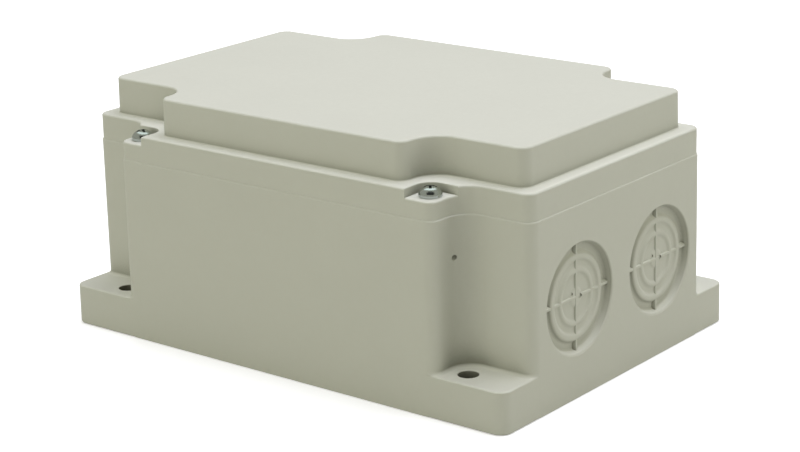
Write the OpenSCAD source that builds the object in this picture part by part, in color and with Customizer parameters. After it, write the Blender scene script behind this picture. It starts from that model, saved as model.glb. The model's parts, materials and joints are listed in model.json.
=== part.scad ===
// Surface-mounted electrical junction box with a screw-down lid, a DIN rail and screw-clamp terminals.
// Origin: centre of the footprint on the mounting surface. X runs along the box, -Y is the front, +Z is up.

/* [Box] */
// Length of the box along X
box_l = 200; // [190:1:210]
// Width of the box along Y
box_w = 140; // [136:1:150]
// Height of the foot plate
foot_h = 15; // [12:0.2:18]
// Height of the joint line between base and lid
joint_z = 68.4; // [66:0.2:74]
// Length cut from each end of the long panels
notch_x = 27.6; // [27:0.2:29]
// Depth cut from each side of the end walls
notch_y = 16.5; // [15:0.1:18]
// Radius of the outer corners
corner_r = 4.7; // [4:0.1:6.4]
// Radius of the feet's corners
foot_corner_r = 4.4; // [3:0.1:6]
// Radius of the inner corners
fillet_r = 8.2; // [4:0.1:8.4]
// Wall thickness
wall = 3; // [2.6:0.1:3.2]

/* [Lid] */
// Height of the lid's skirt up to the ledge
skirt_h = 9.6; // [9.6:0.1:12]
// Height of the raised plateau above the ledge
plateau_h = 13.8; // [10:0.2:20]
// Width of the ledge around the plateau
ledge_w = 5.8; // [5:0.1:6.4]
// Length cut from each end of the plateau's long sides
plateau_notch_x = 38.4; // [37.5:0.1:39.5]
// Depth cut from each side of the plateau's ends
plateau_notch_y = 15.5; // [15:0.1:16.4]
// Depth of the screw pockets below the ledge
pocket_depth = 3.2; // [3:0.1:3.6]
// Radius of the screw pockets
pocket_r = 5.8; // [5:0.1:6.4]

/* [Fixings] */
// Distance of each lid screw from the middle along X
screw_x = 66; // [65:0.2:66.4]
// Distance of each lid screw from the middle along Y
screw_y = 62.6; // [62:0.2:63]
// Distance of each mounting hole from the middle along X
mount_x = 79.5; // [79:0.5:88]
// Distance of each mounting hole from the middle along Y
mount_y = 61.5; // [61:0.5:62.5]
// Radius of the mounting holes
mount_r = 3.6; // [3:0.1:4]

/* [Knockouts] */
// Radius of a knockout's recess
knockout_r = 19.4; // [18:0.2:20]
// Distance of each knockout from the middle along Y
knockout_y = 25.2; // [22:0.2:28]
// Height of the knockouts' centres
knockout_z = 35.4; // [35:0.2:40]

/* [Terminals] */
// Width of one terminal
term_w = 8; // [8:0.1:8.4]
// Upward travel of a clamping cage
cage_travel = 4; // [3:0.1:4]

/* [Hidden] */
$fn = 64;
over = 1; // how far a cutter runs past the face it opens

// Box
half_l = box_l / 2;
half_w = box_w / 2;
panel_x = half_l - notch_x; // ends of the long panels
end_y = half_w - notch_y; // sides of the end walls
floor_t = 3;
least_r = 0.6; // smallest corner left by an inward offset
foot_skin = 4; // thickness left above the cores under the feet
foot_boss_r = 6.5;

// Lid
ledge_z = joint_z + skirt_h;
ledge_t = 3;
skirt_t = 4.2;
plateau_r = 4.5;
plateau_fillet_r = 10;
pocket_z = ledge_z - pocket_depth;
pocket_wall = 2.4;

// Seal between base and lid: distances in from the outer face
tongue_in = 1.6;
tongue_out = 2.8;
tongue_h = 2.4;
groove_in = 1.4;
groove_out = 3.0;
groove_h = 4.4;
seal_gap = 0.1;

// Lid screws, M4 with a high domed head and a cross recess
screw_r = 2;
head_r = 4;
head_h = 3.8;
head_dome_r = 4.4;
screw_len = 20;
recess_l = 4.4;
recess_w = 1.1;
recess_depth = 1.9;
thread_clear = 0.05;
screw_hole_r = 2.3;
seal_r = 3.4;
seal_t = 1.2;
seal_bore_r = 3.6;
retainer_r = 2.9;
retainer_t = 1;
retainer_bore_r = 3.2;
retainer_bore_h = 8;
retainer_drop = 6.2; // room for the screw to rise before the retainer meets the lid
post_r = 5.8;
insert_r = 2.9;
insert_l = 9.6;
insert_gap = 0.02;
insert_top_z = joint_z - retainer_bore_h;
relief_depth = 12;

// Knockout relief: outer radius and depth of each step, from the centre out
knockout_steps = [[3.2, 1.9], [8.4, 2.3], [10.2, 1.7], [13, 2.3], [15.6, 1.6], [knockout_r, 2.9]];
knockout_rib_w = 1.3;
knockout_rib_depth = 1.5;
knockout_pad_r = knockout_r + 2;
knockout_pad_t = 1;
dimple_r = 1.2;
dimple_depth = 0.2;
dimple_y = 59;
dimple_z = 53.8;

// DIN rail, 35 x 7.5 mm
rail_l = 150;
rail_w = 35;
rail_web_w = 27;
rail_h = 7.5;
rail_t = 1;
rail_z = 8;
rail_top = rail_z + rail_h;
rail_boss_r = 5.5;
rail_screw_x = 62.5;
rail_slot_pitch = 25;
rail_slot_l = 15;
rail_slot_r = 3.1;
rail_screw_len = 6;
rail_head_h = 3.1;
rail_head_dome_r = 6.5;
washer_r = 5;
washer_t = 1;
pilot_r = 1.9;

// Terminals: heights are above the floor the box stands on
term_gap = 0.1;
term_pitch = term_w + term_gap;
term_half_l = 24;
side_z = 36;
shoulder_x = 18.5;
shoulder_z = 46;
neck_x = 8;
term_top_x = 6.5;
term_top = 50;
side_wall = 1.2;
hook_z = 11;
hook_t = 2.4;
hook_reach = 2;
clamp_y = 13;
bar_w = 3.6;
bar_t = 2;
bar_z = 31;
bar_half_l = 17;
cage_w = 6;
cage_l = 7;
cage_wall = 1;
cage_floor = 1.5;
cage_roof = 3.5;
cage_gap = 0.4; // clearance over the bar and under the cage at rest
least_wire = 1.5; // thinnest wire that a cage still clamps
cage_z = bar_z - least_wire - cage_travel - cage_floor;
cage_h = bar_z + bar_t + cage_gap + cage_roof - cage_z;
cavity_l = 8.4;
cavity_z = cage_z - cage_gap;
cavity_top = 41.6;
clamp_screw_r = 1.6;
clamp_head_r = 2.7;
clamp_head_h = 2;
clamp_head_z = 41;
slot_w = 0.9;
slot_depth = 1;
access_r = 2.9;
wire_r = 2.6;
wire_z = 28.3;
wire_mouth_r = 3.4;
wire_mouth_l = 2;
foot_strap_l = 4;
cover_t = 1.5;
stop_w = 6;
stop_half_l = 21;
stop_side_z = 26;
stop_top_x = 15;
stop_top = 34;

TERMS = ["feed_1", "feed_2", "feed_3", "earth"];
term_count = len(TERMS);
row_l = 2 * stop_w + term_count * term_pitch + cover_t + 2 * term_gap;
row_start = -row_l / 2;
first_term_x = row_start + stop_w + term_gap;
cover_x = first_term_x + term_count * term_pitch;
last_stop_x = cover_x + cover_t + term_gap;

CORNERS = [["front_left", -1, -1], ["front_right", 1, -1], ["back_left", -1, 1], ["back_right", 1, 1]];

plastic_grey = [0.78, 0.78, 0.72];
zinc = [0.78, 0.79, 0.80];
brass = [0.80, 0.65, 0.30];
copper = [0.80, 0.50, 0.35];
rubber_black = [0.10, 0.10, 0.10];
nylon_white = [0.90, 0.90, 0.86];
terminal_grey = [0.55, 0.57, 0.58];
earth_green = [0.30, 0.60, 0.25];

// ---- outlines ----

// Rectangle with rounded corners, given by its half sizes
module rounded_rect(hx, hy, r) {
    square([2 * hx, 2 * (hy - r)], center = true);
    square([2 * (hx - r), 2 * hy], center = true);
    for (sx = [-1, 1], sy = [-1, 1]) translate([sx * (hx - r), sy * (hy - r)]) circle(r);
}

// Rectangle with a notch at each corner: arms end at hx and hy, and notches meet at (nx, ny)
module notched_rect(hx, hy, nx, ny, r_outer, r_inner) {
    rounded_rect(hx, ny, r_outer);
    rounded_rect(nx, hy, r_outer);
    for (sx = [0, 1], sy = [0, 1]) mirror([sx, 0]) mirror([0, sy]) translate([nx, ny]) difference() {
        translate([-over, -over]) square(r_inner + over);
        translate([r_inner, r_inner]) circle(r_inner);
    }
}

// Outline of base and skirt, moved in by a distance
module body_outline(inset = 0) {
    notched_rect(half_l - inset, half_w - inset, panel_x - inset, end_y - inset,
        max(corner_r - inset, least_r), fillet_r + inset);
}

// Outline of the lid's plateau, moved in by a distance
module plateau_outline(inset = 0) {
    hx = half_l - ledge_w - inset;
    hy = half_w - ledge_w - inset;
    notched_rect(hx, hy, hx - plateau_notch_x, hy - plateau_notch_y,
        max(plateau_r - inset, least_r), plateau_fillet_r + inset);
}

// Band between two insets of the body outline
module body_band(outer, inner) {
    difference() {
        body_outline(outer);
        body_outline(inner);
    }
}

// Corner pocket about a lid screw, open towards the outer corner
module pocket_outline(grow = 0, reach = 20) {
    r = pocket_r + grow;
    circle(r);
    translate([-r, 0]) square([r + reach, reach]);
    translate([0, -r]) square([reach, r + reach]);
}

// Repeats a shape drawn for the +X +Y corner in all four corners
module in_corners() {
    for (mx = [0, 1], my = [0, 1]) mirror([mx, 0, 0]) mirror([0, my, 0]) children();
}

// ---- enclosure ----

// Inner radius of a step in a knockout's relief
function step_inner_r(i) = i == 0 ? 0 : knockout_steps[i - 1][0];

// Stepped relief of one knockout, cut down from the face at z = 0
module knockout_relief() {
    difference() {
        rotate_extrude() polygon(concat([[0, over]],
            [for (i = [0 : len(knockout_steps) - 1], r = [step_inner_r(i), knockout_steps[i][0]])
                [r, -knockout_steps[i][1]]],
            [[knockout_r, over]]));
        for (turn = [0, 90]) rotate(turn)
            translate([-knockout_r - over, -knockout_rib_w / 2, -2 * wall])
                cube([2 * (knockout_r + over), knockout_rib_w, 2 * wall - knockout_rib_depth]);
    }
}

// Places a shape drawn on z = 0 on both knockouts of both end walls, facing out
module on_end_walls() {
    for (mx = [0, 1], sy = [-1, 1]) mirror([mx, 0, 0])
        translate([half_l, sy * knockout_y, knockout_z]) rotate([0, 90, 0]) children();
}

module post() {
    translate([screw_x, screw_y, 0]) cylinder(h = joint_z, r = post_r);
}

module post_bores() {
    translate([screw_x, screw_y, insert_top_z]) {
        cylinder(h = retainer_bore_h + over, r = retainer_bore_r);
        translate([0, 0, -insert_l]) cylinder(h = insert_l + over, r = insert_r + insert_gap);
        translate([0, 0, -relief_depth]) cylinder(h = relief_depth, r = screw_hole_r);
    }
}

// Hollow under one foot, leaving a boss around the mounting hole
module foot_core() {
    x0 = panel_x + wall;
    y0 = end_y + wall;
    translate([0, 0, -over]) linear_extrude(foot_h - foot_skin + over) difference() {
        translate([x0, y0]) square([half_l - wall - x0, half_w - wall - y0]);
        translate([mount_x, mount_y]) circle(foot_boss_r);
    }
}

module base_shell() {
    color(plastic_grey) difference() {
        union() {
            difference() {
                union() {
                    linear_extrude(foot_h) rounded_rect(half_l, half_w, foot_corner_r);
                    linear_extrude(joint_z) body_outline();
                }
                translate([0, 0, floor_t]) linear_extrude(joint_z) body_outline(wall);
            }
            intersection() {
                in_corners() post();
                linear_extrude(joint_z) body_outline();
            }
            translate([0, 0, joint_z - over]) linear_extrude(tongue_h + over)
                body_band(tongue_in, tongue_out);
            on_end_walls() translate([0, 0, -wall - knockout_pad_t]) cylinder(h = wall, r = knockout_pad_r);
            for (sx = [-1, 1]) translate([sx * rail_screw_x, 0, 0]) cylinder(h = rail_z, r = rail_boss_r);
        }
        in_corners() {
            post_bores();
            foot_core();
            translate([mount_x, mount_y, -over]) cylinder(h = foot_h + 2 * over, r = mount_r);
            translate([panel_x - dimple_depth, dimple_y, dimple_z]) rotate([0, 90, 0])
                cylinder(h = dimple_depth + 2 * over, r = dimple_r);
        }
        on_end_walls() knockout_relief();
        for (sx = [-1, 1]) translate([sx * rail_screw_x, 0, floor_t]) cylinder(h = rail_z, r = pilot_r);
    }
}

module lid_shell() {
    color(plastic_grey) difference() {
        union() {
            difference() {
                union() {
                    translate([0, 0, joint_z]) linear_extrude(skirt_h) body_outline();
                    translate([0, 0, joint_z]) linear_extrude(skirt_h + plateau_h) plateau_outline();
                }
                translate([0, 0, joint_z - over]) linear_extrude(skirt_h - ledge_t + over)
                    body_outline(skirt_t);
                translate([0, 0, joint_z - over]) linear_extrude(skirt_h + plateau_h - ledge_t + over)
                    plateau_outline(ledge_t);
            }
            translate([0, 0, joint_z]) linear_extrude(skirt_h) intersection() {
                body_outline();
                in_corners() translate([screw_x, screw_y]) pocket_outline(pocket_wall);
            }
        }
        translate([0, 0, joint_z - over]) linear_extrude(groove_h + over) body_band(groove_in, groove_out);
        in_corners() translate([screw_x, screw_y, 0]) {
            translate([0, 0, pocket_z]) linear_extrude(skirt_h) pocket_outline();
            translate([0, 0, joint_z - over]) cylinder(h = skirt_h, r = screw_hole_r);
            translate([0, 0, pocket_z - seal_t - seal_gap]) cylinder(h = skirt_h, r = seal_bore_r);
        }
    }
}

// Foam cord in the lid's groove, above the base's tongue
module lid_gasket() {
    color(rubber_black) translate([0, 0, joint_z + tongue_h + seal_gap])
        linear_extrude(groove_h - tongue_h - 2 * seal_gap)
            body_band(groove_in + seal_gap, groove_out - seal_gap);
}

// ---- fixings ----

// Screw head of height h with a cross recess, standing on z = 0
module cross_head(h, dome_r) {
    difference() {
        rotate_extrude() intersection() {
            square([head_r, h]);
            translate([0, h - dome_r]) circle(dome_r);
        }
        for (turn = [0, 90]) rotate(turn) translate([-recess_l / 2, -recess_w / 2, h - recess_depth])
            cube([recess_l, recess_w, h]);
    }
}

module lid_screw(corner) {
    color(zinc) translate([corner[1] * screw_x, corner[2] * screw_y, pocket_z]) {
        cross_head(head_h, head_dome_r);
        translate([0, 0, -screw_len]) cylinder(h = screw_len, r = screw_r);
    }
}

// Flat ring about a lid screw
module screw_ring(corner, z, outer, thickness) {
    translate([corner[1] * screw_x, corner[2] * screw_y, z]) difference() {
        cylinder(h = thickness, r = outer);
        translate([0, 0, -over]) cylinder(h = thickness + 2 * over, r = screw_r + thread_clear);
    }
}

module screw_seal(corner) {
    color(rubber_black) screw_ring(corner, pocket_z - seal_t - seal_gap / 2, seal_r, seal_t);
}

module screw_retainer(corner) {
    color(nylon_white) screw_ring(corner, joint_z - retainer_drop - retainer_t, retainer_r, retainer_t);
}

module thread_inserts() {
    color(brass) for (corner = CORNERS) screw_ring(corner, insert_top_z - insert_l, insert_r, insert_l);
}

// ---- rail ----

module rail_slot() {
    square([rail_slot_l - 2 * rail_slot_r, 2 * rail_slot_r], center = true);
    for (sx = [-1, 1]) translate([sx * (rail_slot_l / 2 - rail_slot_r), 0]) circle(rail_slot_r);
}

module din_rail() {
    color(zinc) difference() {
        translate([-rail_l / 2, 0, rail_z]) rotate([90, 0, 90]) linear_extrude(rail_l) {
            translate([-rail_web_w / 2, 0]) square([rail_web_w, rail_t]);
            for (side = [0, 1]) mirror([side, 0]) {
                translate([rail_web_w / 2 - rail_t, 0]) square([rail_t, rail_h]);
                translate([rail_web_w / 2 - rail_t, rail_h - rail_t])
                    square([(rail_w - rail_web_w) / 2 + rail_t, rail_t]);
            }
        }
        for (i = [-2.5 : 1 : 2.5]) translate([i * rail_slot_pitch, 0, rail_z - over])
            linear_extrude(rail_t + 2 * over) rail_slot();
    }
}

module rail_screws() {
    color(zinc) for (sx = [-1, 1]) translate([sx * rail_screw_x, 0, rail_z + rail_t + washer_t]) {
        cross_head(rail_head_h, rail_head_dome_r);
        translate([0, 0, -rail_screw_len]) cylinder(h = rail_screw_len, r = pilot_r - thread_clear);
    }
}

module rail_washers() {
    color(zinc) for (sx = [-1, 1]) translate([sx * rail_screw_x, 0, rail_z + rail_t]) difference() {
        cylinder(h = washer_t, r = washer_r);
        translate([0, 0, -over]) cylinder(h = washer_t + 2 * over, r = screw_r + thread_clear);
    }
}

// ---- terminals ----

// Side view of one half of a clip-on foot that grips the rail's flange
module foot_half() {
    inner = rail_w / 2 + term_gap;
    translate([inner, hook_z]) square([hook_t, rail_top + over - hook_z]);
    translate([inner - hook_reach, hook_z])
        square([hook_reach + over, rail_top - rail_t - term_gap - hook_z]);
}

// Side view of a clip-on block from its right half's corner points
module clip_outline(points) {
    polygon(concat(points, [for (i = [len(points) - 1 : -1 : 0]) [-points[i][0], points[i][1]]]));
    for (side = [0, 1]) mirror([side, 0]) foot_half();
}

module term_outline() {
    clip_outline([[term_half_l, rail_top], [term_half_l, side_z], [shoulder_x, shoulder_z],
        [neck_x, shoulder_z], [term_top_x, term_top]]);
}

module stop_outline() {
    clip_outline([[stop_half_l, rail_top], [stop_half_l, stop_side_z], [stop_top_x, stop_top]]);
}

// Stands a side view up along the rail, from x to x + width
module along_rail(x, width) {
    translate([x, 0, 0]) rotate([90, 0, 90]) linear_extrude(width) children();
}

// Middle of a terminal's metal parts across its width
function metal_x(x) = x + side_wall + (term_w - side_wall) / 2;

module housing(x, is_earth) {
    inside_x = x + side_wall;
    color(is_earth ? earth_green : terminal_grey) difference() {
        along_rail(x, term_w) term_outline();
        for (sy = [-1, 1]) {
            translate([inside_x, sy * clamp_y - cavity_l / 2, cavity_z])
                cube([term_w, cavity_l, cavity_top - cavity_z]);
            translate([metal_x(x), sy * clamp_y, cavity_top - over]) cylinder(h = term_top, r = access_r);
            translate([metal_x(x), 0, wire_z]) rotate([-90 * sy, 0, 0]) {
                translate([0, 0, clamp_y]) cylinder(h = term_half_l, r = wire_r);
                translate([0, 0, term_half_l - wire_mouth_l])
                    cylinder(h = wire_mouth_l + over, r1 = wire_r, r2 = wire_mouth_r);
            }
        }
        translate([metal_x(x) - bar_w / 2 - term_gap, -bar_half_l - term_gap, bar_z - term_gap])
            cube([term_w, 2 * (bar_half_l + term_gap), bar_t + 2 * term_gap]);
        if (is_earth)
            translate([metal_x(x) - bar_w / 2 - term_gap, -foot_strap_l / 2 - term_gap, rail_top - over])
                cube([term_w, foot_strap_l + 2 * term_gap, bar_z - rail_top + over]);
    }
}

module current_bar(x) {
    color(copper) translate([metal_x(x) - bar_w / 2, -bar_half_l, bar_z])
        cube([bar_w, 2 * bar_half_l, bar_t]);
}

// Steel cage drawn up by its screw to press a wire against the bar
module cage(x, sy) {
    color(zinc) translate([metal_x(x), sy * clamp_y, cage_z]) difference() {
        translate([-cage_w / 2, -cage_l / 2, 0]) cube([cage_w, cage_l, cage_h]);
        translate([cage_wall - cage_w / 2, -cage_l / 2 - over, cage_floor])
            cube([cage_w - 2 * cage_wall, cage_l + 2 * over, cage_h - cage_floor - cage_roof]);
        translate([0, 0, cage_h - cage_roof - over])
            cylinder(h = cage_roof + 2 * over, r = clamp_screw_r + thread_clear);
    }
}

module clamp_screw(x, sy) {
    tip_z = bar_z + bar_t + thread_clear;
    color(zinc) translate([metal_x(x), sy * clamp_y, 0]) {
        translate([0, 0, tip_z]) cylinder(h = clamp_head_z - tip_z + over, r = clamp_screw_r);
        difference() {
            translate([0, 0, clamp_head_z]) cylinder(h = clamp_head_h, r = clamp_head_r);
            translate([-clamp_head_r - over, -slot_w / 2, clamp_head_z + clamp_head_h - slot_depth])
                cube([2 * (clamp_head_r + over), slot_w, clamp_head_h]);
        }
    }
}

module end_stop(x) {
    color(terminal_grey) along_rail(x, stop_w) stop_outline();
}

module end_cover() {
    color(terminal_grey) along_rail(cover_x, cover_t) term_outline();
}

// Strap that bonds the earth bar to the rail
module earth_foot() {
    x = metal_x(first_term_x + (term_count - 1) * term_pitch);
    color(zinc) translate([x - bar_w / 2, -foot_strap_l / 2, rail_z + rail_t + term_gap])
        cube([bar_w, foot_strap_l, bar_z - rail_z - rail_t - 2 * term_gap]);
}

base_shell();
lid_shell();
lid_gasket();
thread_inserts();
din_rail();
rail_screws();
rail_washers();
end_stop(row_start);  // end_stop_left
end_stop(last_stop_x);  // end_stop_right
end_cover();
earth_foot();
for (corner = CORNERS) {
    lid_screw(corner);
    screw_seal(corner);
    screw_retainer(corner);
}
for (i = [0 : term_count - 1]) {
    name = TERMS[i];
    x = first_term_x + i * term_pitch;
    housing(x, name == "earth");
    current_bar(x);
    for (side = [["front", -1], ["back", 1]]) {
        cage(x, side[1]);
        clamp_screw(x, side[1]);
    }
}
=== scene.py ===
"""Looks of the electrical junction box: shells, screws, materials, light and camera."""
import json
import math
from collections import namedtuple

import bmesh
import bpy
from mathutils import Matrix, Vector


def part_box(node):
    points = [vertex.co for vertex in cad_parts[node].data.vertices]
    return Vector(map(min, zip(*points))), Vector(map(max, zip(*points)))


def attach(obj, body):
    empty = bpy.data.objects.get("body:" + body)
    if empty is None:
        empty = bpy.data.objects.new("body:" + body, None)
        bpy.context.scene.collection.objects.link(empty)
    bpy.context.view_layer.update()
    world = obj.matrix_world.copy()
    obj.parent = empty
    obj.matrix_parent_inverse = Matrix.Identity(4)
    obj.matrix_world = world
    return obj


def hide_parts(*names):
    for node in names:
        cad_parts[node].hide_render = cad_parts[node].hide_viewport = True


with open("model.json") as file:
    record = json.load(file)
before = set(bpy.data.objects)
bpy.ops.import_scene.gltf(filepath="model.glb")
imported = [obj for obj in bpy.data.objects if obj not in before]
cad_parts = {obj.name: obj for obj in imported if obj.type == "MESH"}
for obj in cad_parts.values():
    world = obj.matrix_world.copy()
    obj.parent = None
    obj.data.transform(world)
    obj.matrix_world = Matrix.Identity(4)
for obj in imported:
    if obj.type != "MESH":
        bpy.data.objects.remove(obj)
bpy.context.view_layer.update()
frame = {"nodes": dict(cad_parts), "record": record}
MM = 0.001
CORNERS = {"front_left": (-1, -1), "front_right": (1, -1), "back_left": (-1, 1), "back_right": (1, 1)}

# ---- sizes, in metres, from the frame where it has them ----

base_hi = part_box("base_shell")[1]
lid_lo, lid_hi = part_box("lid_shell")
screw_lo, screw_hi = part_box("lid_screw_front_right")
BOX_HX, BOX_HY = base_hi.x, base_hi.y
FOOT_H = 15 * MM
JOINT_Z = lid_lo.z
LEDGE_Z = JOINT_Z + 9.6 * MM
TOP_Z = lid_hi.z
WALL = 3 * MM
SCREW_X = (screw_lo.x + screw_hi.x) / 2
SCREW_Y = -(screw_lo.y + screw_hi.y) / 2
POST_R = 5.8 * MM
INSERT_R = 2.9 * MM
POCKET_Z = LEDGE_Z - 3.2 * MM
POCKET_R = 5.8 * MM
WASHER_R = 5 * MM
RAIL_SCREW_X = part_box("rail_washers")[1].x - WASHER_R
FIXING = [m for m in frame["record"]["mounts"] if m["name"] == "wall_fixing"][0]["dims"]
MOUNT_X = FIXING["spacing_x_mm"] / 2 * MM
MOUNT_Y = FIXING["spacing_y_mm"] / 2 * MM
MOUNT_R = FIXING["hole_r_mm"] * MM
KNOCKOUT_Y, KNOCKOUT_Z, KNOCKOUT_R = 25.2 * MM, 35.4 * MM, 19.4 * MM
KNOCKOUT_FLOORS = (  # outer radius and depth of each ring, in mm
    (3.2, 1.9), (8.4, 2.3), (10.2, 1.7), (13.0, 2.3), (15.6, 1.6), (19.4, 2.9))
DRAFT = 0.4 / 78  # lean of the outer walls, per unit of height
JOINT_STEP = 0.35 * MM  # the base stands this far proud of the lid at the joint line

# half length and width, where the corner notches start, and the radii outside and inside the notches
Outline = namedtuple("Outline", "hx hy nx ny r_out r_in")
BODY = Outline(BOX_HX, BOX_HY, BOX_HX - 27.6 * MM, BOX_HY - 16.5 * MM, 4.7 * MM, 8.2 * MM)
PLATEAU = Outline(BOX_HX - 5.8 * MM, BOX_HY - 5.8 * MM, BOX_HX - 44.2 * MM, BOX_HY - 21.3 * MM,
                  4.5 * MM, 10 * MM)
FOOT_R = 4.4 * MM
LEAST_R = 0.4 * MM
ARC_STEPS = 10
LINE_STEPS = 3


# ---- outlines and lofts ----

def inset(o, d):
    """The outline moved in by d."""
    return Outline(o.hx - d, o.hy - d, o.nx - d, o.ny - d, max(o.r_out - d, LEAST_R), o.r_in + d)


def arc(cx, cy, r, start, sweep, steps=ARC_STEPS):
    return [Vector((cx + r * math.cos(math.radians(start + sweep * i / steps)),
                    cy + r * math.sin(math.radians(start + sweep * i / steps)))) for i in range(steps + 1)]


def line(a, b, steps=LINE_STEPS):
    """Points strictly between a and b."""
    return [a.lerp(b, i / steps) for i in range(1, steps)]


def notch_path(o):
    """One corner of a notched outline, from the end wall round to the long panel, in the +X +Y quarter."""
    first = arc(o.hx - o.r_out, o.ny - o.r_out, o.r_out, 0, 90)
    middle = arc(o.nx + o.r_in, o.ny + o.r_in, o.r_in, 270, -90)
    last = arc(o.nx - o.r_out, o.hy - o.r_out, o.r_out, 0, 90)
    return first + line(first[-1], middle[0]) + middle + line(middle[-1], last[0]) + last


def lengths(path):
    total = [0.0]
    for a, b in zip(path, path[1:]):
        total.append(total[-1] + (b - a).length)
    return total


def along(path, share):
    """Point at a share of a path's length."""
    total = lengths(path)
    want = share * total[-1]
    for i in range(1, len(path)):
        if total[i] >= want - 1e-12:
            span = total[i] - total[i - 1]
            return path[i - 1].lerp(path[i], 0 if span == 0 else (want - total[i - 1]) / span)
    return path[-1]


def foot_path(o, r_foot):
    """The foot's corner outside a notch, one point for each point of notch_path."""
    body = notch_path(o)
    bend = arc(o.hx - r_foot, o.hy - r_foot, r_foot, 0, 90, 16)
    halves = ([body[0]] + bend[:9], bend[8:] + [body[-1]])
    middle = len(body) // 2
    points = []
    for half, outer in ((body[:middle + 1], halves[0]), (body[middle:], halves[1])):
        total = lengths(half)
        points += [along(outer, t / total[-1]) for t in total]
    del points[middle]
    return points


def all_corners(path):
    """The path in all four quarters, anticlockwise, as one closed ring."""
    flip = list(reversed(path))
    return ([Vector((p.x, p.y)) for p in path] + [Vector((-p.x, p.y)) for p in flip]
            + [Vector((-p.x, -p.y)) for p in path] + [Vector((p.x, -p.y)) for p in flip])


def at_height(points, z):
    return [Vector((p.x, p.y, z)) for p in points]


def ring(o, z, d=0.0):
    return at_height(all_corners(notch_path(inset(o, d))), z)


def loft(name, rings):
    """Closed solid through rings that have the same number of points, bottom ring first."""
    bm = bmesh.new()
    rows = [[bm.verts.new(p) for p in points] for points in rings]
    count = len(rows[0])
    for low, high in zip(rows, rows[1:]):
        for i in range(count):
            j = (i + 1) % count
            bm.faces.new((low[i], low[j], high[j], high[i]))
    bm.faces.new(list(reversed(rows[0])))
    bm.faces.new(rows[-1])
    return to_object(name, bm)


def to_object(name, bm):
    bmesh.ops.remove_doubles(bm, verts=bm.verts, dist=1e-7)
    bmesh.ops.recalc_face_normals(bm, faces=bm.faces)
    mesh = bpy.data.meshes.new(name)
    bm.to_mesh(mesh)
    bm.free()
    obj = bpy.data.objects.new(name, mesh)
    bpy.context.scene.collection.objects.link(obj)
    return obj


def lathe(name, profile, steps=72, place=Matrix.Identity(4)):
    """Closed solid turned about Z from (radius, height) points that start and end on the axis."""
    rings = [[Vector((r * math.cos(math.tau * i / steps), r * math.sin(math.tau * i / steps), z))
              for i in range(steps)] for r, z in profile[1:-1]]
    bm = bmesh.new()
    rows = [[bm.verts.new(place @ p) for p in points] for points in rings]
    for low, high in zip(rows, rows[1:]):
        for i in range(steps):
            j = (i + 1) % steps
            bm.faces.new((low[i], low[j], high[j], high[i]))
    for row, (_, z) in ((rows[0], profile[0]), (rows[-1], profile[-1])):
        tip = bm.verts.new(place @ Vector((0, 0, z)))
        for i in range(steps):
            bm.faces.new((row[i], row[(i + 1) % steps], tip))
    return to_object(name, bm)


def slab(name, reach, low, high):
    """Square slab about the Z axis, from low to high."""
    return loft(name, [[Vector((x * reach, y * reach, z)) for x, y in ((-1, -1), (1, -1), (1, 1), (-1, 1))]
                       for z in (low, high)])


def rounded(profile, r, steps=4):
    """A profile with each inner corner rounded by r, or by less where an edge is short."""
    points = [Vector(p) for p in profile]
    out = [points[0]]
    for before, corner, after in zip(points, points[1:], points[2:]):
        reach = min(r, (corner - before).length * 0.45, (after - corner).length * 0.45)
        start = corner + (before - corner).normalized() * reach
        end = corner + (after - corner).normalized() * reach
        for i in range(steps + 1):
            t = i / steps
            out.append(start * (1 - t) ** 2 + corner * 2 * t * (1 - t) + end * t ** 2)
    out.append(points[-1])
    return [tuple(p) for p in out]


def combine(obj, tool, operation):
    """Boolean of obj and tool, kept in obj; the tool is used up."""
    modifier = obj.modifiers.new("combine", "BOOLEAN")
    modifier.object = tool
    modifier.operation = operation
    modifier.solver = "MANIFOLD"
    graph = bpy.context.evaluated_depsgraph_get()
    mesh = bpy.data.meshes.new_from_object(obj.evaluated_get(graph))
    obj.modifiers.clear()
    obj.data = mesh
    bpy.data.objects.remove(tool)
    return obj


def cut(obj, tool):
    return combine(obj, tool, "DIFFERENCE")


def join(obj, tool):
    return combine(obj, tool, "UNION")


def turned(name, points, r, steps, place=Matrix.Identity(4)):
    """Lathe of a profile in millimetres whose corners are rounded by r millimetres."""
    return lathe(name, [(x * MM, z * MM) for x, z in rounded(points, r)], steps, place)


def at(x, y, z=0.0):
    return Matrix.Translation((x, y, z))


def facing_out(sx, y, z):
    """Place on an end wall's outer face, with local Z pointing out of the wall."""
    return at(sx * BOX_HX, y, z) @ Matrix.Rotation(sx * math.pi / 2, 4, "Y")


# ---- base ----

def edge_levels(z, r, steps=4):
    """(height, inset) pairs of a rounded top edge that ends at z."""
    turns = [math.pi / 2 * i / steps for i in range(steps + 1)]
    return [(z - r + r * math.sin(a), r * (1 - math.cos(a))) for a in turns]


def fillet_levels(z, r, steps=4):
    """(height, outward flare) pairs of a concave fillet that starts at z."""
    turns = [math.pi / 2 * i / steps for i in range(steps + 1)]
    return [(z + r * (1 - math.cos(a)), r * (1 - math.sin(a))) for a in turns]


def foot_ring(z, d):
    """Ring at foot level: d moves the feet's outer edge in, and fades out where a foot runs into a wall."""
    leaning = inset(BODY, leaned(z))
    path = foot_path(leaning, FOOT_R)
    body = notch_path(leaning)
    points = []
    for i, (p, b) in enumerate(zip(path, body)):
        step = path[min(i + 1, len(path) - 1)] - path[max(i - 1, 0)]
        normal = Vector((step.y, -step.x)).normalized()
        points.append(p - normal * min(d, 0.45 * (p - b).length))
    return at_height(all_corners(points), z)


def leaned(z):
    return DRAFT * z


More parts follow.
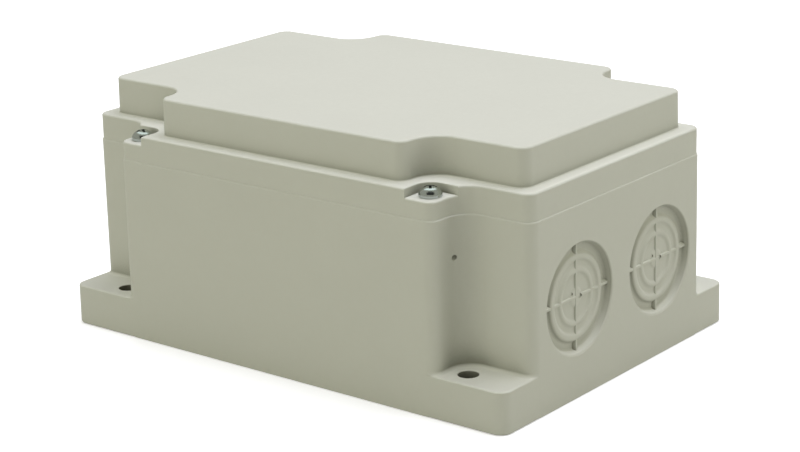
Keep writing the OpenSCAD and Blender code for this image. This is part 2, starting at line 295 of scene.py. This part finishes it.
def flared_ring(z, flare):
    """Body ring just above the feet, its notch walls swept outwards by flare."""
    o = inset(BODY, leaned(z))
    swept = o._replace(nx=o.nx + flare, ny=o.ny + flare, r_in=o.r_in - flare)
    return at_height(all_corners(notch_path(swept)), z)


def base_outside():
    foot_edge, foot_fillet, joint_edge = 0.6 * MM, 1.2 * MM, 0.6 * MM
    rings = [foot_ring(0, 0.3 * MM), foot_ring(0.3 * MM, 0)]
    rings += [foot_ring(z, d) for z, d in edge_levels(FOOT_H, foot_edge)]
    rings += [flared_ring(z + 1e-6, flare) for z, flare in fillet_levels(FOOT_H, foot_fillet)]
    rings += [ring(BODY, z, leaned(z) + d) for z, d in edge_levels(JOINT_Z, joint_edge, 4)]
    return loft("base_shell_body", rings)


def base_cavity():
    floor_z, floor_fillet = 3 * MM, 1.5 * MM
    rings = [ring(BODY, z, WALL + flare) for z, flare in fillet_levels(floor_z, floor_fillet)]
    return loft("cavity", rings + [ring(BODY, JOINT_Z + 9 * MM, WALL)])


def knockout_profile():
    """(radius, height) in mm from a knockout's middle to its rounded rim, height 0 at the wall's face."""
    soft, rim, edge = 0.45, KNOCKOUT_R / MM, 0.8
    face = -leaned(KNOCKOUT_Z) / MM
    profile = [(0, -KNOCKOUT_FLOORS[0][1])]
    for (r, depth), (_, after) in zip(KNOCKOUT_FLOORS, KNOCKOUT_FLOORS[1:]):
        profile += [(r - soft, -depth), (r + soft, -after)]
    profile.append((rim - 0.7, -KNOCKOUT_FLOORS[-1][1]))
    for turn in (180, 165, 150, 135, 120, 105, 90):
        a = math.radians(turn)
        profile.append((rim + edge + edge * math.cos(a), face - edge + edge * math.sin(a)))
    return rounded(profile + [(rim + edge, 2), (0, 2)], 0.65)


def rib_tool(place):
    """Bar with tapered sides whose top is the top of a knockout's rib."""
    foot, crest, root, floor, top = 1.1, 0.4, -6, -2.9, -1.75
    section = ((-foot, root), (-foot, floor), (-crest, top), (crest, top), (foot, floor), (foot, root))
    reach = 20.6 * MM
    return loft("rib", [[place @ Vector((x, y * MM, z * MM)) for y, z in section] for x in (-reach, reach)])


def knockout_tool(sx, sy):
    """Stepped recess of one knockout with its cross of ribs left standing and two pips by its middle."""
    place = facing_out(sx, sy * KNOCKOUT_Y, KNOCKOUT_Z)
    tool = lathe("knockout_tool", [(r * MM, z * MM) for r, z in knockout_profile()], 144, place)
    for turn in (0, math.pi / 2):
        cut(tool, rib_tool(place @ Matrix.Rotation(turn, 4, "Z")))
    bottom, mouth = -2.3, -1
    for pip_z, pip_y, pip_r in ((1.5, -2.6, 0.7), (-0.2, 2.3, 0.95)):
        pip = [(0, bottom), (pip_r, bottom), (pip_r, mouth), (0, mouth)]
        join(tool, turned("pip", pip, 0.2, 16, place @ at(-sx * pip_z * MM, pip_y * MM)))
    return tool


def tongue():
    """Raised lip on the base's rim that presses into the lid's gasket."""
    outer, inner, height = 1.6 * MM, 2.8 * MM, 2.4 * MM
    chamfer = 0.3 * MM
    top = JOINT_Z + height
    lip = loft("tongue", [ring(BODY, JOINT_Z - 1 * MM, outer), ring(BODY, top - chamfer, outer),
                          ring(BODY, top, outer + chamfer)])
    return cut(lip, loft("tongue_inside", [ring(BODY, JOINT_Z + z * MM, inner) for z in (-2, 4)]))


def corner_bosses(base, sx, sy):
    """Screw post and knockout backing plate in one corner."""
    top, post_r, foot, chamfer = JOINT_Z / MM, POST_R / MM, 1, 0.3
    post = [(0, foot), (post_r, foot), (post_r, top - chamfer), (post_r - chamfer, top), (0, top)]
    join(base, turned("post", post, 0.1, 48, at(sx * SCREW_X, sy * SCREW_Y)))
    pad_r, pad_back, pad_face = KNOCKOUT_R / MM + 2, -4, -1
    pad = [(0, pad_back), (pad_r, pad_back), (pad_r, pad_face), (0, pad_face)]
    join(base, turned("pad", pad, 0.4, 96, facing_out(sx, sy * KNOCKOUT_Y, KNOCKOUT_Z)))


def corner_holes(base, sx, sy):
    """Screw bore, fixing hole, moulding dimple and knockout in one corner."""
    bore, seat_r, joint = INSERT_R / MM, 3.2, JOINT_Z / MM
    seat_z, mouth_r, above = joint - 8, seat_r + 0.15, joint + 5
    bottom = seat_z - 9.6
    post_bore = [(0, bottom), (bore, bottom), (bore, seat_z), (seat_r, seat_z), (seat_r, joint - 0.1),
                 (mouth_r, joint + 0.05), (mouth_r, above), (0, above)]
    cut(base, turned("post_bore", post_bore, 0.05, 48, at(sx * SCREW_X, sy * SCREW_Y)))
    hole, foot = MOUNT_R / MM, FOOT_H / MM
    mouth_r, above = hole + 0.25, foot + 2
    mount_hole = [(0, -1), (hole, -1), (hole, foot - 0.2), (mouth_r, foot + 0.05), (mouth_r, above),
                  (0, above)]
    cut(base, turned("mount_hole", mount_hole, 0.1, 64, at(sx * MOUNT_X, sy * MOUNT_Y)))
    dimple_y, dimple_z = 59 * MM, 53.8 * MM
    dimple = [(0, -0.6), (0.6, -0.5), (1.0, 0), (1.0, 2), (0, 2)]
    panel_end = at(sx * (BODY.nx - leaned(dimple_z)), sy * dimple_y, dimple_z)
    cut(base, turned("dimple", dimple, 0.15, 24, panel_end @ Matrix.Rotation(sx * math.pi / 2, 4, "Y")))
    cut(base, knockout_tool(sx, sy))


def build_base():
    base = cut(base_outside(), base_cavity())
    for sx, sy in CORNERS.values():
        corner_bosses(base, sx, sy)
    boss_r, boss_foot, boss_top = 5.5, 1, 8
    boss = [(0, boss_foot), (boss_r, boss_foot), (boss_r, boss_top), (0, boss_top)]
    for sx in (-1, 1):
        join(base, turned("rail_boss", boss, 0.4, 48, at(sx * RAIL_SCREW_X, 0)))
    join(base, tongue())
    for sx, sy in CORNERS.values():
        corner_holes(base, sx, sy)
    return base


# ---- lid ----

def lid_outside():
    ledge_edge, plateau_fillet, plateau_edge, plateau_lean = 0.8 * MM, 0.5 * MM, 0.9 * MM, 0.2 * MM
    rings = [ring(BODY, JOINT_Z, leaned(JOINT_Z) + JOINT_STEP)]
    rings += [ring(BODY, z, leaned(z) + JOINT_STEP + d) for z, d in edge_levels(LEDGE_Z, ledge_edge)]
    rings += [ring(PLATEAU, z, -flare) for z, flare in fillet_levels(LEDGE_Z, plateau_fillet)]
    rings += [ring(PLATEAU, z, plateau_lean + d) for z, d in edge_levels(TOP_Z, plateau_edge, 6)]
    return loft("lid_shell_body", rings)


def lid_inside():
    skirt, shell, roof, under_ledge = 4.2 * MM, 3 * MM, TOP_Z - 3 * MM, LEDGE_Z - 3 * MM
    chamfer = 1 * MM
    below = [ring(BODY, JOINT_Z - 1 * MM, skirt), ring(BODY, under_ledge, skirt)]
    above = [ring(PLATEAU, under_ledge + 1e-6, shell), ring(PLATEAU, roof - chamfer, shell),
             ring(PLATEAU, roof, shell + chamfer)]
    return loft("lid_inside", below + above)


def pocket_ring(z, grow):
    """Pocket outline for the +X +Y corner about its screw: round inside, open towards both outer faces."""
    r = POCKET_R + grow
    reach = 20 * MM
    far = [Vector((reach, -r)), Vector((reach, reach))]
    return at_height([Vector((-r, reach))] + arc(0, 0, r, 180, 90, 16) + far, z)


def pocket_tool(sx, sy):
    """Cutter of one screw pocket; it goes below the pocket's floor, which pocket_floor puts back."""
    levels = [(POCKET_Z - 1.2 * MM, 0), (LEDGE_Z - 0.5 * MM, 0), (LEDGE_Z - 0.15 * MM, 0.15 * MM),
              (LEDGE_Z + 0.02 * MM, 0.5 * MM), (LEDGE_Z + 5 * MM, 0.5 * MM)]
    tool = loft("pocket_tool", [pocket_ring(z, grow) for z, grow in levels])
    tool.data.transform(at(sx * SCREW_X, sy * SCREW_Y) @ Matrix.Diagonal((sx, sy, 1, 1)))
    if sx * sy < 0:
        tool.data.flip_normals()
    return tool


def pocket_floor():
    """Slab up to the pockets' floors, its outer edge rounded where a pocket leaves it bare."""
    edge, clear = 0.7 * MM, 0.01 * MM
    rings = [ring(BODY, JOINT_Z + 1 * MM, leaned(JOINT_Z) + JOINT_STEP + clear)]
    rings += [ring(BODY, z, leaned(z) + JOINT_STEP + clear + d) for z, d in edge_levels(POCKET_Z, edge, 5)]
    return loft("pocket_floor", rings)


def screw_block(sx, sy):
    """Part of the lid's inside that stays solid round one screw pocket."""
    reach = POCKET_R + 2.4 * MM
    near_x, near_y, far_x, far_y = SCREW_X - reach, SCREW_Y - reach, BODY.nx - 3 * MM, BODY.hy - 2.5 * MM
    corners = [(near_x, near_y), (far_x, near_y), (far_x, far_y), (near_x, far_y)]
    return loft("block", [[Vector((sx * x, sy * y, z)) for x, y in corners]
                          for z in (JOINT_Z - 3 * MM, LEDGE_Z - 0.5 * MM)])


def gasket_groove():
    near, far = 1.4 * MM, 3 * MM
    groove = loft("groove", [ring(BODY, JOINT_Z + z * MM, near) for z in (-1, 4.4)])
    return cut(groove, loft("groove_inside", [ring(BODY, JOINT_Z + z * MM, far) for z in (-2, 6)]))


def build_lid():
    lid, hollow = lid_outside(), lid_inside()
    for sx, sy in CORNERS.values():
        cut(lid, pocket_tool(sx, sy))
        cut(hollow, screw_block(sx, sy))
    cut(join(lid, pocket_floor()), hollow)
    cut(lid, gasket_groove())
    low, seat, top = JOINT_Z / MM - 1, POCKET_Z / MM - 1.3, LEDGE_Z / MM
    neck_r, seal_r = 2.3, 3.6
    hole = [(0, low), (neck_r, low), (neck_r, seat), (seal_r, seat), (seal_r, top), (0, top)]
    for sx, sy in CORNERS.values():
        cut(lid, turned("screw_hole", hole, 0.05, 48, at(sx * SCREW_X, sy * SCREW_Y)))
    return lid


# ---- screws ----

def thread(name, r, pitch, length, place, steps=24):
    """Shank with a helical thread, its top at the place's origin, tapering off at the tip."""
    bm = bmesh.new()
    per_turn = 10
    count = round(length / pitch * per_turn)
    groove, tip_length, steepness, tip_taper = 0.54 * pitch, 0.9 * pitch, 2.6, 0.35
    rows = []
    for k in range(count + 1):
        depth = length * k / count
        tip = max(0.0, 1 - (length - depth) / tip_length)
        row = []
        for i in range(steps):
            turn = (depth / pitch + i / steps) % 1
            flank = max(0.0, 1 - abs(turn - 0.5) * steepness)
            radius = (r - groove * flank) * (1 - tip_taper * tip)
            angle = math.tau * i / steps
            point = Vector((radius * math.cos(angle), radius * math.sin(angle), -depth))
            row.append(bm.verts.new(place @ point))
        rows.append(row)
    for high, low in zip(rows, rows[1:]):
        for i in range(steps):
            j = (i + 1) % steps
            bm.faces.new((low[i], low[j], high[j], high[i]))
    bm.faces.new(rows[0])
    bm.faces.new(list(reversed(rows[-1])))
    return to_object(name, bm)


def cross_recess(place, size, depth):
    """Tapered cross that a screwdriver fits, its mouth at the place's origin."""
    corners = ((-size, -size), (size, -size), (size, size), (-size, size))
    levels = ((-depth, 0.45, 0.14), (-0.3 * depth, 0.94, 0.2), (0.6 * MM, 1.0, 0.22))

    def wing(turn):
        seat = place @ Matrix.Rotation(turn, 4, "Z")
        return loft("wing", [[seat @ Vector((x * reach, y * half_width, z)) for x, y in corners]
                             for z, reach, half_width in levels])
    return join(wing(0), wing(math.pi / 2))


def cross_head(name, place, r, h, dome_r, turn):
    """Screw head of radius r and height h with a cross recess, standing on the place's origin."""
    def dome_z(x):
        return h - dome_r + math.sqrt(dome_r ** 2 - x ** 2)

    chamfer = 0.15 * MM
    dome = [(r * share, dome_z(r * share)) for share in (0.97, 0.93, 0.85, 0.72, 0.6, 0.45, 0.3, 0.15)]
    profile = [(0, 0), (r - chamfer, 0), (r, chamfer), (r, dome_z(r) - 0.2 * MM)] + dome + [(0, h)]
    head = lathe(name, rounded(profile, 0.3 * MM), 72, place)
    return cut(head, cross_recess(place @ Matrix.Rotation(turn, 4, "Z") @ at(0, 0, h), 0.56 * r, 0.6 * h))


def build_lid_screw(corner, sx, sy):
    """M4 captive lid screw: domed head, plain neck and a threaded end."""
    name = "lid_screw_" + corner
    low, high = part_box(name)
    neck_r, neck_l, r = 1.7 * MM, 12 * MM, 2 * MM
    place = at(sx * SCREW_X, sy * SCREW_Y, POCKET_Z)
    turn = math.radians(24 + 31 * sx + 17 * sy)
    screw = cross_head(name + "_body", place, (high.x - low.x) / 2, high.z - POCKET_Z, 4.4 * MM, turn)
    neck_end, root = -neck_l - 0.5 * MM, 0.3 * MM
    neck = [(0, neck_end), (neck_r, neck_end), (neck_r, -0.4 * MM), (r, root), (0, root)]
    join(screw, lathe("neck", neck, 24, place))
    join(screw, thread("thread", r, 0.7 * MM, POCKET_Z - low.z - neck_l, place @ at(0, 0, -neck_l)))
    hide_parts(name)
    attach(screw, "screw_" + corner)
    return screw


def build_rail_screws():
    """The two screws that hold the rail, as one piece."""
    washer_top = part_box("rail_washers")[1].z
    low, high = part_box("rail_screws")
    pair = []
    for sx in (-1, 1):
        place = at(sx * RAIL_SCREW_X, 0, washer_top)
        screw = cross_head("rail_screws_body", place, high.x - RAIL_SCREW_X, high.z - washer_top, 6.5 * MM,
                           math.radians(20 * sx))
        join(screw, thread("thread", 1.8 * MM, 0.9 * MM, washer_top - low.z, place @ at(0, 0, 0.2 * MM)))
        pair.append(screw)
    screws = join(*pair)
    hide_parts("rail_screws")
    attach(screws, "base")
    return screws


def finish_mesh(obj, sharp=32):
    """Smooth shading with edges sharper than the angle kept crisp, and flat faces kept flat."""
    for face in obj.data.polygons:
        face.use_smooth = True
    obj.data.set_sharp_from_angle(angle=math.radians(sharp))
    weighted = obj.modifiers.new("weighted_normals", "WEIGHTED_NORMAL")
    weighted.keep_sharp = True
    return obj


def soften_cad(obj, width):
    """Small rounded edges on a CAD part, with its flat faces cleaned first."""
    clean = obj.modifiers.new("clean", "DECIMATE")
    clean.decimate_type = "DISSOLVE"
    clean.angle_limit = math.radians(1)
    bevel = obj.modifiers.new("bevel", "BEVEL")
    bevel.width = width
    bevel.segments = 2
    bevel.limit_method = "ANGLE"
    bevel.angle_limit = math.radians(40)


# ---- materials ----

class Nodes:
    """Short helper for building one material's node tree."""

    def __init__(self, name):
        self.material = bpy.data.materials.new(name)
        self.material.use_nodes = True
        self.tree = self.material.node_tree
        self.shader = self.tree.nodes["Principled BSDF"]
        self.place = self.add("ShaderNodeTexCoord").outputs["Object"]
        self.mm = self.in_mm(self.place)

    def add(self, kind, **settings):
        node = self.tree.nodes.new(kind)
        for key, value in settings.items():
            setattr(node, key, value)
        return node

    def link(self, source, target):
        self.tree.links.new(source, target)

    def in_mm(self, vector):
        node = self.add("ShaderNodeVectorMath", operation="SCALE")
        self.link(vector, node.inputs[0])
        node.inputs["Scale"].default_value = 1 / MM
        return node.outputs["Vector"]

    def math(self, operation, a, b=0.0, clamp=False):
        node = self.add("ShaderNodeMath", operation=operation, use_clamp=clamp)
        for socket, value in zip(node.inputs, (a, b)):
            if isinstance(value, (int, float)):
                socket.default_value = value
            else:
                self.link(value, socket)
        return node.outputs[0]

    def noise(self, size_mm, detail=2.0, stretch=(1, 1, 1), rough=0.5):
        """Noise whose features are about size_mm across, between 0 and 1."""
        mapping = self.add("ShaderNodeMapping")
        mapping.inputs["Scale"].default_value = stretch
        self.link(self.mm, mapping.inputs["Vector"])
        noise = self.add("ShaderNodeTexNoise")
        noise.inputs["Scale"].default_value = 1 / size_mm
        noise.inputs["Detail"].default_value = detail
        noise.inputs["Roughness"].default_value = rough
        self.link(mapping.outputs["Vector"], noise.inputs["Vector"])
        return noise.outputs["Fac"]

    def blend(self, share, a, b):
        """Colour a, moving to b as share goes from 0 to 1."""
        node = self.add("ShaderNodeMix", data_type="RGBA")
        for index, value in ((0, share), (6, a), (7, b)):
            socket = node.inputs[index]
            if isinstance(value, (int, float)):
                socket.default_value = value
            elif isinstance(value, tuple):
                socket.default_value = (*value, 1)
            else:
                self.link(value, socket)
        return node.outputs[2]

    def remap(self, value, low, high):
        node = self.add("ShaderNodeMapRange")
        self.link(value, node.inputs["Value"])
        node.inputs["To Min"].default_value = low
        node.inputs["To Max"].default_value = high
        return node.outputs["Result"]

    def step_up(self, value, start, end):
        """0 below start, 1 above end."""
        node = self.add("ShaderNodeMapRange")
        self.link(value, node.inputs["Value"])
        node.inputs["From Min"].default_value = start
        node.inputs["From Max"].default_value = end
        return node.outputs["Result"]

    def crevices(self, reach):
        """1 in the open, towards 0 in the piece's own corners and holes within reach."""
        node = self.add("ShaderNodeAmbientOcclusion", samples=8, only_local=True)
        node.inputs["Distance"].default_value = reach
        return node.outputs["AO"]

    def upward(self):
        """How much a face looks up, from 0 on a wall or underside to 1 on a top."""
        axes = self.add("ShaderNodeSeparateXYZ")
        self.link(self.add("ShaderNodeNewGeometry").outputs["Normal"], axes.inputs[0])
        return self.math("MAXIMUM", axes.outputs["Z"], 0.0)

    def edges(self, r):
        """0 on flat faces, towards 1 along edges."""
        bevel = self.add("ShaderNodeBevel", samples=4)
        bevel.inputs["Radius"].default_value = r
        geometry = self.add("ShaderNodeNewGeometry")
        dot = self.add("ShaderNodeVectorMath", operation="DOT_PRODUCT")
        self.link(bevel.outputs["Normal"], dot.inputs[0])
        self.link(geometry.outputs["True Normal"], dot.inputs[1])
        return self.step_up(self.math("SUBTRACT", 1.0, dot.outputs["Value"]), 0.01, 0.2)

    def bump(self, heights):
        """Adds heights together, given as (value, height in mm), as a bump."""
        total = None
        for value, height in heights:
            part = self.math("MULTIPLY", value, height * MM)
            total = part if total is None else self.math("ADD", total, part)
        node = self.add("ShaderNodeBump")
        node.inputs["Distance"].default_value = 1.0
        self.link(total, node.inputs["Height"])
        self.link(node.outputs["Normal"], self.shader.inputs["Normal"])

    def set(self, **values):
        for key, value in values.items():
            socket = self.shader.inputs[key.replace("_", " ")]
            if isinstance(value, (int, float)):
                socket.default_value = value
            elif isinstance(value, tuple):
                socket.default_value = (*value, 1)
            else:
                self.link(value, socket)


def scaled(colour, factor):
    return tuple(c * factor for c in colour)


def moulded(name, colour, shade_colour, grain=0.45, gloss=0.42, stripe=None):
    """Satin moulded plastic: fine grain, cloudy colour, painted shade in crevices, painted light on upward
    faces in crevices, and slightly polished edges with a painted highlight.
    """
    n = Nodes(name)
    cloud = n.noise(28, detail=3)
    mottle = n.noise(2.2, detail=3, rough=0.6)
    fine = n.noise(grain, detail=2)
    tint = n.blend(cloud, scaled(colour, 0.975), scaled(colour, 1.025))
    tint = n.blend(n.math("MULTIPLY", mottle, 0.35), tint, scaled(colour, 0.94))
    if stripe:
        tint = n.blend(stripe(n), tint, STRIPE_YELLOW)
    # Painted highlight: the colour is made lighter along rounded edges; the roughness further down also
    # drops there.
    edge = n.edges(0.5 * MM)
    tint = n.blend(n.math("MULTIPLY", edge, 0.3), tint, scaled(colour, 1.12))
    hidden = n.math("SUBTRACT", 1.0, n.crevices(14 * MM), clamp=True)
    upward = n.upward()
    # Painted light: upward faces inside corners and recesses are made lighter.
    tint = n.blend(n.math("MULTIPLY", hidden, n.math("MULTIPLY", upward, 0.9)), tint, scaled(colour, 1.6))
    # Painted shade: the colour darkens in corners and recesses, more in deep ones and less on upward faces.
    deep_from, deep_gain = 0.36, 3.6
    deep = n.math("MULTIPLY", n.math("MAXIMUM", n.math("SUBTRACT", hidden, deep_from), 0.0), deep_gain)
    shade_share = n.math("ADD", n.math("POWER", hidden, 1.3), deep)
    tint = n.blend(n.math("MULTIPLY", shade_share, n.remap(upward, 0.8, 0.0), clamp=True), tint, shade_colour)
    rough = n.math("SUBTRACT", n.remap(mottle, gloss, gloss + 0.12), n.math("MULTIPLY", edge, 0.08))
    n.set(Base_Color=tint, Roughness=rough)
    n.shader.inputs["Specular IOR Level"].default_value = 0.42
    n.bump([(fine, 0.012), (mottle, 0.02), (cloud, 0.05)])
    return n.material


def metal(name, colour, rough, grain=(1, 1, 1), dull=0.8, grain_mm=0.6):
    """Plated or bare metal with drawn grain, cloudy roughness, a painted highlight along edges and painted
    shade in crevices.
    """
    n = Nodes(name)
    cloud = n.noise(6, detail=4, rough=0.6)
    drawn = n.noise(grain_mm, detail=3, stretch=grain)
    edge = n.edges(0.25 * MM)
    tint = n.blend(cloud, scaled(colour, dull), colour)
    # Painted highlight: the colour is made brighter along edges.
    tint = n.blend(n.math("MULTIPLY", edge, 0.35), tint, scaled(colour, 1.15))
    # Painted shade: the colour is darkened in small crevices.
    hidden = n.math("SUBTRACT", 1.0, n.crevices(1.2 * MM), clamp=True)
    tint = n.blend(n.math("MULTIPLY", hidden, 0.8), tint, scaled(colour, 0.12))
    n.set(Base_Color=tint, Metallic=1.0, Roughness=n.remap(drawn, rough * 0.75, rough * 1.35))
    n.bump([(drawn, 0.008), (cloud, 0.01)])
    return n.material


def rubber(name, colour, pores):
    """Matt rubber or foam with fine pores."""
    n = Nodes(name)
    pore = n.noise(pores, detail=4, rough=0.7)
    cloud = n.noise(5, detail=2)
    tint = n.blend(cloud, scaled(colour, 0.7), scaled(colour, 1.3))
    tint = n.blend(n.step_up(pore, 0.55, 0.7), tint, scaled(colour, 0.4))
    n.set(Base_Color=tint, Roughness=n.remap(pore, 0.65, 0.9))
    n.bump([(pore, 0.06)])
    return n.material


def nylon(name, colour):
    """Waxy, slightly translucent nylon."""
    n = Nodes(name)
    cloud = n.noise(3, detail=3)
    fine = n.noise(0.4, detail=2)
    n.set(Base_Color=n.blend(cloud, scaled(colour, 0.93), colour), Roughness=n.remap(fine, 0.3, 0.45),
          Subsurface_Weight=0.2)
    n.shader.inputs["Subsurface Scale"].default_value = 1 * MM
    n.bump([(fine, 0.01), (cloud, 0.02)])
    return n.material


STRIPE_YELLOW = (0.80, 0.58, 0.04)


def earth_stripe(n):
    """Yellow bands across an earth terminal, one either side of its middle."""
    band_y, half_width = 13.0, 3.2
    axes = n.add("ShaderNodeSeparateXYZ")
    n.link(n.mm, axes.inputs[0])
    from_middle = n.math("ABSOLUTE", axes.outputs["Y"])
    return n.math("LESS_THAN", n.math("ABSOLUTE", n.math("SUBTRACT", from_middle, band_y)), half_width)


SHELL_GREY = (0.545, 0.548, 0.470)
# Colour of the painted shade in the shells' corners and recesses.
SHELL_SHADE = (0.16, 0.16, 0.12)


def slot_materials():
    """One material for each material slot of the record."""
    return {
        # The third colour given to moulded is the colour of its painted shade in corners and recesses.
        "base_plastic": moulded("base_grey", SHELL_GREY, SHELL_SHADE),
        "lid_plastic": moulded("lid_grey", SHELL_GREY, SHELL_SHADE),
        "gasket_foam": rubber("gasket_foam_black", (0.035, 0.035, 0.035), 0.5),
        "seal_rubber": rubber("seal_rubber_black", (0.03, 0.03, 0.032), 0.2),
        "nylon": nylon("nylon_natural", (0.82, 0.81, 0.74)),
        "screw_steel": metal("screw_zinc", (0.56, 0.60, 0.59), 0.2, grain_mm=0.3),
        "zinc_steel": metal("sheet_zinc", (0.60, 0.61, 0.62), 0.34, grain=(0.08, 1, 1)),
        "brass": metal("insert_brass", (0.80, 0.58, 0.25), 0.28, grain_mm=0.3),
        "copper": metal("bar_copper", (0.82, 0.46, 0.30), 0.3, grain=(1, 0.1, 1)),
        "terminal_grey": moulded("terminal_grey_pa", (0.25, 0.27, 0.28), (0.05, 0.05, 0.05), grain=0.35),
        "earth_green": moulded("earth_green_pa", (0.05, 0.25, 0.04), (0.01, 0.04, 0.01), grain=0.35,
                               stripe=earth_stripe),
    }


def dress(obj, material):
    obj.data.materials.clear()
    obj.data.materials.append(material)


# ---- the pieces ----

def place_shell(obj, node, body, slot):
    """Puts a finished shell in the place of its CAD node."""
    finish_mesh(obj)
    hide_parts(node)
    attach(obj, body)
    dress(obj, materials[slot])


materials = slot_materials()
place_shell(build_base(), "base_shell", "base", "base_plastic")
place_shell(build_lid(), "lid_shell", "lid", "lid_plastic")
for corner, (sx, sy) in CORNERS.items():
    dress(finish_mesh(build_lid_screw(corner, sx, sy)), materials["screw_steel"])
dress(finish_mesh(build_rail_screws()), materials["screw_steel"])

REBUILT = {"base_shell", "lid_shell", "rail_screws"} | {"lid_screw_" + corner for corner in CORNERS}
EDGE_WIDTHS = {  # mm, by material slot
    "zinc_steel": 0.2, "terminal_grey": 0.3, "earth_green": 0.3, "copper": 0.2, "screw_steel": 0.15,
    "nylon": 0.15, "brass": 0.15, "seal_rubber": 0.2, "gasket_foam": 0.3,
}
for part in frame["record"]["subparts"]:
    if part["node"] not in REBUILT:
        node = frame["nodes"][part["node"]]
        node.material_slots[0].material = materials[part["material_slot"]]
        soften_cad(node, EDGE_WIDTHS[part["material_slot"]] * MM)


# ---- stage, light and camera ----

AZIMUTH, ELEVATION, ROLL = 38.81, 17.15, -1.49
TARGET = Vector((2.53 * MM, 0, 37.47 * MM))
DISTANCE = 815.69 * MM
LENS = 98.91
FLOOR_REACH = 1.3
FLOOR_BOUNCE = (0.55, 0.55, 0.50)
FLOOR_LIFT = 0.35
SKY_COLOUR = (1.0, 1.0, 0.84)
SKY_STRENGTH = 0.43
LIGHT_AIM = (0, 0, 0.04)
LIGHTS = {  # place, size, watts, colour
    "overhead": ((0.1, 0.2, 1.5), 1.2, 22, (0.84, 0.84, 1.0)),
    "front_left": ((-0.38, -1.42, 0.55), 0.9, 5, (1.0, 1.0, 0.91)),
    "back_right": ((1.35, 0.8, 0.6), 0.9, 5, (1.0, 1.0, 0.95)),
}
CARDS = {  # elevation, distance, width, height, bend, glow
    "bright_card": (93, 1.5, 2.4, 0.6, 0.75, 1.5),
    "dark_card": (51, 1.0, 1.1, 0.7, 0.0, 0.0),
}


def axes_towards(azimuth, elevation):
    """Right, up and outward axes of something that looks at the object from these angles in degrees."""
    az, el = math.radians(azimuth), math.radians(elevation)
    out = Vector((math.sin(az) * math.cos(el), -math.cos(az) * math.cos(el), math.sin(el)))
    right = Vector((math.cos(az), math.sin(az), 0))
    return right, out.cross(right), out


def add_camera():
    roll = math.radians(ROLL)
    right, up, back = axes_towards(AZIMUTH, ELEVATION)
    tilted_right = math.cos(roll) * right + math.sin(roll) * up
    tilted_up = -math.sin(roll) * right + math.cos(roll) * up
    data = bpy.data.cameras.new("camera")
    data.lens = LENS
    data.sensor_width = 36
    camera = bpy.data.objects.new("camera", data)
    turn = Matrix((tilted_right, tilted_up, back)).transposed().to_4x4()
    camera.matrix_world = Matrix.Translation(TARGET + back * DISTANCE) @ turn
    bpy.context.scene.collection.objects.link(camera)
    bpy.context.scene.camera = camera


def add_area(name, place, size, watts, colour):
    data = bpy.data.lights.new(name, "AREA")
    data.shape = "DISK"
    data.size = size
    data.energy = watts
    data.color = colour
    light = bpy.data.objects.new(name, data)
    light.location = place
    light.rotation_euler = (Vector(LIGHT_AIM) - Vector(place)).to_track_quat("-Z", "Y").to_euler()
    light.visible_glossy = False
    bpy.context.scene.collection.objects.link(light)


def add_card(name, elevation, distance, width, height, bend, glow):
    """Studio card, bowed by bend, that shows only in reflections, so that polished metal reads as metal."""
    thick, steps = 10 * MM, 12
    edge = ((-height / 2, 0), (height / 2, 0), (height / 2, thick), (-height / 2, thick))
    across = [width * (k / steps - 0.5) for k in range(steps + 1)]
    card = loft(name, [[Vector((x, bend * x * x + y, z)) for y, z in edge] for x in across])
    right, up, out = axes_towards(AZIMUTH, elevation)
    turn = Matrix((right, up, out)).transposed().to_4x4()
    card.matrix_world = Matrix.Translation(TARGET + out * distance) @ turn
    card.visible_camera = card.visible_diffuse = card.visible_shadow = card.visible_transmission = False
    n = Nodes(name)
    n.set(Base_Color=(0.02, 0.02, 0.02), Roughness=0.9, Emission_Color=(0.9, 1.0, 0.96),
          Emission_Strength=glow)
    n.bump([(n.noise(3), 0.01)])
    dress(card, n.material)


def add_floor():
    """Pale floor that reads as plain white to the camera but returns less light to the object."""
    floor = slab("floor", FLOOR_REACH, -20 * MM, -0.2 * MM)
    n = Nodes("floor_white")
    path = n.add("ShaderNodeLightPath").outputs["Is Camera Ray"]
    n.set(Base_Color=n.blend(path, FLOOR_BOUNCE, (0.9, 0.9, 0.9)), Roughness=0.9,
          Emission_Color=(1, 1, 1), Emission_Strength=n.math("MULTIPLY", path, FLOOR_LIFT))
    n.bump([(n.noise(4, detail=3), 0.02)])
    dress(floor, n.material)


def add_world():
    """White backdrop for the camera, softer and dimmer light for the object."""
    world = bpy.data.worlds.new("world")
    world.use_nodes = True
    tree = world.node_tree
    path = tree.nodes.new("ShaderNodeLightPath")
    backdrop = tree.nodes.new("ShaderNodeBackground")
    sky = tree.nodes["Background"]
    sky.inputs["Color"].default_value = (*SKY_COLOUR, 1)
    sky.inputs["Strength"].default_value = SKY_STRENGTH
    mix = tree.nodes.new("ShaderNodeMixShader")
    backdrop.inputs["Color"].default_value = (1, 1, 1, 1)
    tree.links.new(path.outputs["Is Camera Ray"], mix.inputs[0])
    tree.links.new(sky.outputs[0], mix.inputs[1])
    tree.links.new(backdrop.outputs[0], mix.inputs[2])
    tree.links.new(mix.outputs[0], tree.nodes["World Output"].inputs["Surface"])
    bpy.context.scene.world = world


add_camera()
add_floor()
add_world()
for name, settings in LIGHTS.items():
    add_area(name, *settings)
for name, settings in CARDS.items():
    add_card(name, *settings)
bpy.context.scene.view_settings.view_transform = "Standard"
